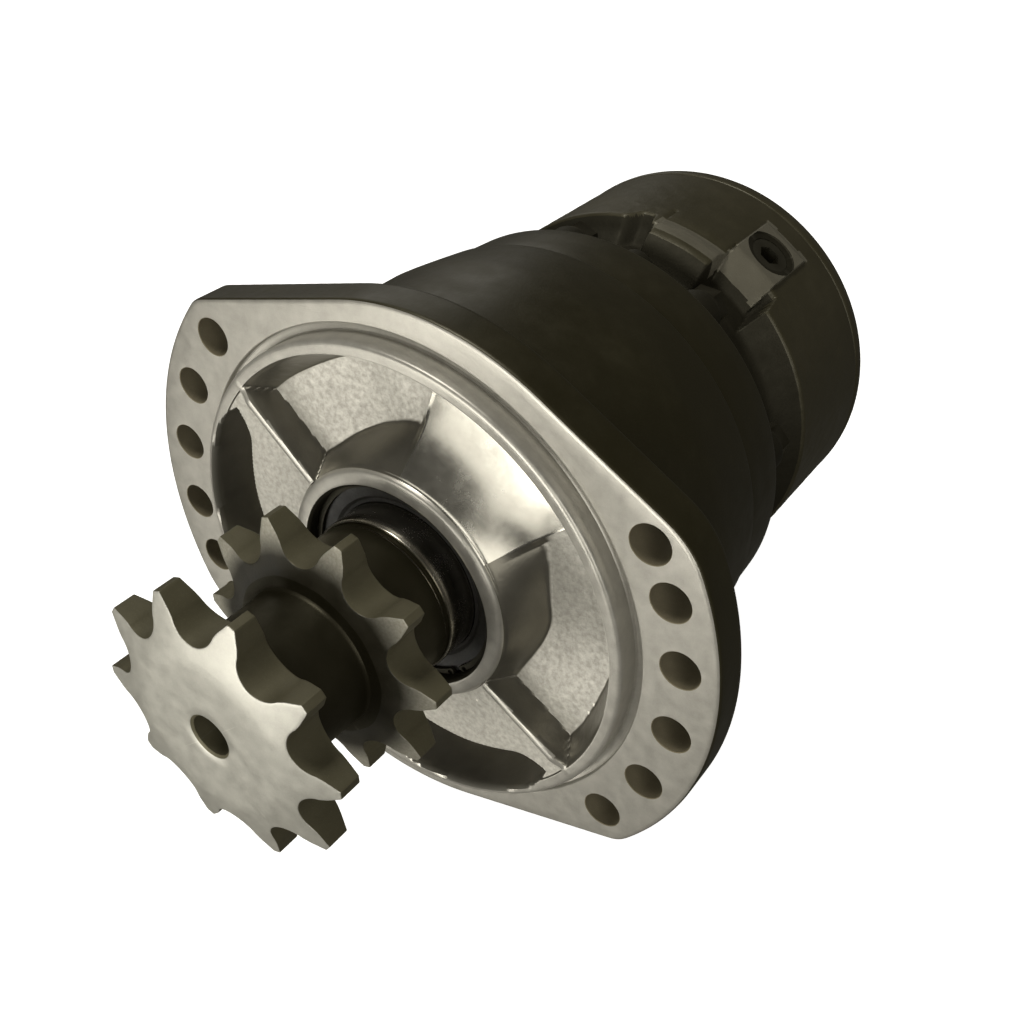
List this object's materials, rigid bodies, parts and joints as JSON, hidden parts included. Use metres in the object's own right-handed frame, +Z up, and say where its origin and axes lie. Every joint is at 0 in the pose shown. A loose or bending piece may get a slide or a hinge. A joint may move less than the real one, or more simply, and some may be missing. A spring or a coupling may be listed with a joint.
{
  "type": "hydraulic drive motor",
  "caption": "Compact cam-lobe radial-piston hydraulic drive motor with a two-lobed mounting flange, a pilot and a double-row chain sprocket on its shaft.",
  "frame": {"origin": "on the shaft axis, in the mounting face of the flange", "axes": "-Y along the shaft towards the sprocket, +Y towards the rear drum, +Z up, the flange's two bolt lobes along +X and -X"},
  "size_m": [0.291, 0.3748, 0.2476],
  "materials": {
    "machined_iron": "satin",
    "shaft_steel": "satin",
    "black_paint": "semi-gloss",
    "bearing_steel": "polished",
    "cage_steel": "matt",
    "block_iron": "satin",
    "seal_rubber": "matt",
    "bolt_steel": "satin",
    "plug_steel": "satin",
    "spring_steel": "satin",
    "brake_lining": "matt"
  },
  "bodies": {
    "housing": {"front_housing": "machined_iron", "shaft_seal": "seal_rubber", "seal_retaining_ring": "spring_steel", "front_bearing_cup": "bearing_steel", "rear_bearing_cup": "bearing_steel", "bearing_cup_retainer": "spring_steel", "cam_ring": "black_paint", "case_seals": "seal_rubber", "dowel_pins": "bearing_steel", "case_bolts": "bolt_steel", "distributor": "block_iron", "distributor_seals": "seal_rubber", "distributor_spring": "spring_steel", "rear_housing": "black_paint", "rear_cover": "black_paint", "cover_screws": "bolt_steel", "port_plugs": "plug_steel", "case_drain_plug": "plug_steel", "brake_port_plug": "plug_steel", "brake_steel_discs": "spring_steel", "brake_disc_spring": "spring_steel"},
    "rotor": {"output_shaft": "shaft_steel", "front_bearing_cone": "bearing_steel", "rear_bearing_cone": "bearing_steel", "bearing_spacer": "block_iron", "bearing_lock_washer": "spring_steel", "bearing_nut": "spring_steel", "cylinder_block": "block_iron", "brake_shaft": "shaft_steel", "brake_friction_discs": "brake_lining"},
    "front_cage": {"front_bearing_cage": "cage_steel", "front_bearing_rollers": "bearing_steel"},
    "rear_cage": {"rear_bearing_cage": "cage_steel", "rear_bearing_rollers": "bearing_steel"},
    "piston_1": {"piston_1": "bearing_steel"},
    "roller_1": {"cam_roller_1": "bearing_steel"},
    "piston_2": {"piston_2": "bearing_steel"},
    "roller_2": {"cam_roller_2": "bearing_steel"},
    "piston_3": {"piston_3": "bearing_steel"},
    "roller_3": {"cam_roller_3": "bearing_steel"},
    "piston_4": {"piston_4": "bearing_steel"},
    "roller_4": {"cam_roller_4": "bearing_steel"},
    "piston_5": {"piston_5": "bearing_steel"},
    "roller_5": {"cam_roller_5": "bearing_steel"},
    "piston_6": {"piston_6": "bearing_steel"},
    "roller_6": {"cam_roller_6": "bearing_steel"},
    "piston_7": {"piston_7": "bearing_steel"},
    "roller_7": {"cam_roller_7": "bearing_steel"},
    "piston_8": {"piston_8": "bearing_steel"},
    "roller_8": {"cam_roller_8": "bearing_steel"},
    "brake_piston": {"brake_piston": "block_iron", "brake_piston_seals": "seal_rubber"}
  },
  "joints": [
    {"name": "shaft_spin", "type": "hinge", "parent": "housing", "child": "rotor", "pos_m": [0, 0, 0], "axis": [0, 1, 0], "continuous": true},
    {"name": "front_cage_spin", "type": "hinge", "parent": "housing", "child": "front_cage", "pos_m": [0, 0.029, 0], "axis": [0, 1, 0], "continuous": true},
    {"name": "rear_cage_spin", "type": "hinge", "parent": "housing", "child": "rear_cage", "pos_m": [0, 0.079, 0], "axis": [0, 1, 0], "continuous": true},
    {"name": "piston_1_stroke", "type": "slide", "parent": "rotor", "child": "piston_1", "axis": [0.9914, 0, 0.1305], "range_m": [0, 0.0087]},
    {"name": "piston_2_stroke", "type": "slide", "parent": "rotor", "child": "piston_2", "axis": [0.6088, 0, 0.7934], "range_m": [0, 0.0087]},
    {"name": "piston_3_stroke", "type": "slide", "parent": "rotor", "child": "piston_3", "axis": [-0.1305, 0, 0.9914], "range_m": [0, 0.0032]},
    {"name": "piston_4_stroke", "type": "slide", "parent": "rotor", "child": "piston_4", "axis": [-0.7934, 0, 0.6088], "range_m": [0, 0.0032]},
    {"name": "piston_5_stroke", "type": "slide", "parent": "rotor", "child": "piston_5", "axis": [-0.9914, 0, -0.1305], "range_m": [0, 0.0087]},
    {"name": "piston_6_stroke", "type": "slide", "parent": "rotor", "child": "piston_6", "axis": [-0.6088, 0, -0.7934], "range_m": [0, 0.0087]},
    {"name": "piston_7_stroke", "type": "slide", "parent": "rotor", "child": "piston_7", "axis": [0.1305, 0, -0.9914], "range_m": [0, 0.0032]},
    {"name": "piston_8_stroke", "type": "slide", "parent": "rotor", "child": "piston_8", "axis": [0.7934, 0, -0.6088], "range_m": [0, 0.0032]},
    {"name": "roller_1_spin", "type": "hinge", "parent": "piston_1", "child": "roller_1", "pos_m": [0.06187, 0.122, 0.00814], "axis": [0, 1, 0], "continuous": true},
    {"name": "roller_2_spin", "type": "hinge", "parent": "piston_2", "child": "roller_2", "pos_m": [0.03799, 0.122, 0.04951], "axis": [0, 1, 0], "continuous": true},
    {"name": "roller_3_spin", "type": "hinge", "parent": "piston_3", "child": "roller_3", "pos_m": [-0.00814, 0.122, 0.06187], "axis": [0, 1, 0], "continuous": true},
    {"name": "roller_4_spin", "type": "hinge", "parent": "piston_4", "child": "roller_4", "pos_m": [-0.04951, 0.122, 0.03799], "axis": [0, 1, 0], "continuous": true},
    {"name": "roller_5_spin", "type": "hinge", "parent": "piston_5", "child": "roller_5", "pos_m": [-0.06187, 0.122, -0.00814], "axis": [0, 1, 0], "continuous": true},
    {"name": "roller_6_spin", "type": "hinge", "parent": "piston_6", "child": "roller_6", "pos_m": [-0.03799, 0.122, -0.04951], "axis": [0, 1, 0], "continuous": true},
    {"name": "roller_7_spin", "type": "hinge", "parent": "piston_7", "child": "roller_7", "pos_m": [0.00814, 0.122, -0.06187], "axis": [0, 1, 0], "continuous": true},
    {"name": "roller_8_spin", "type": "hinge", "parent": "piston_8", "child": "roller_8", "pos_m": [0.04951, 0.122, -0.03799], "axis": [0, 1, 0], "continuous": true},
    {"name": "brake_release", "type": "slide", "parent": "housing", "child": "brake_piston", "axis": [0, 1, 0], "range_m": [0, 0.003], "stiffness_N_per_m": 20000, "springref_m": -0.002, "deforming": ["brake_disc_spring"]}
  ],
  "couplings": [
    {"joint": "front_cage_spin", "follows": "shaft_spin", "ratio": 0.4286},
    {"joint": "rear_cage_spin", "follows": "shaft_spin", "ratio": 0.4286},
    {"joint": "roller_1_spin", "follows": "shaft_spin", "ratio": -9.625},
    {"joint": "roller_2_spin", "follows": "shaft_spin", "ratio": -9.625},
    {"joint": "roller_3_spin", "follows": "shaft_spin", "ratio": -9.625},
    {"joint": "roller_4_spin", "follows": "shaft_spin", "ratio": -9.625},
    {"joint": "roller_5_spin", "follows": "shaft_spin", "ratio": -9.625},
    {"joint": "roller_6_spin", "follows": "shaft_spin", "ratio": -9.625},
    {"joint": "roller_7_spin", "follows": "shaft_spin", "ratio": -9.625},
    {"joint": "roller_8_spin", "follows": "shaft_spin", "ratio": -9.625}
  ]
}
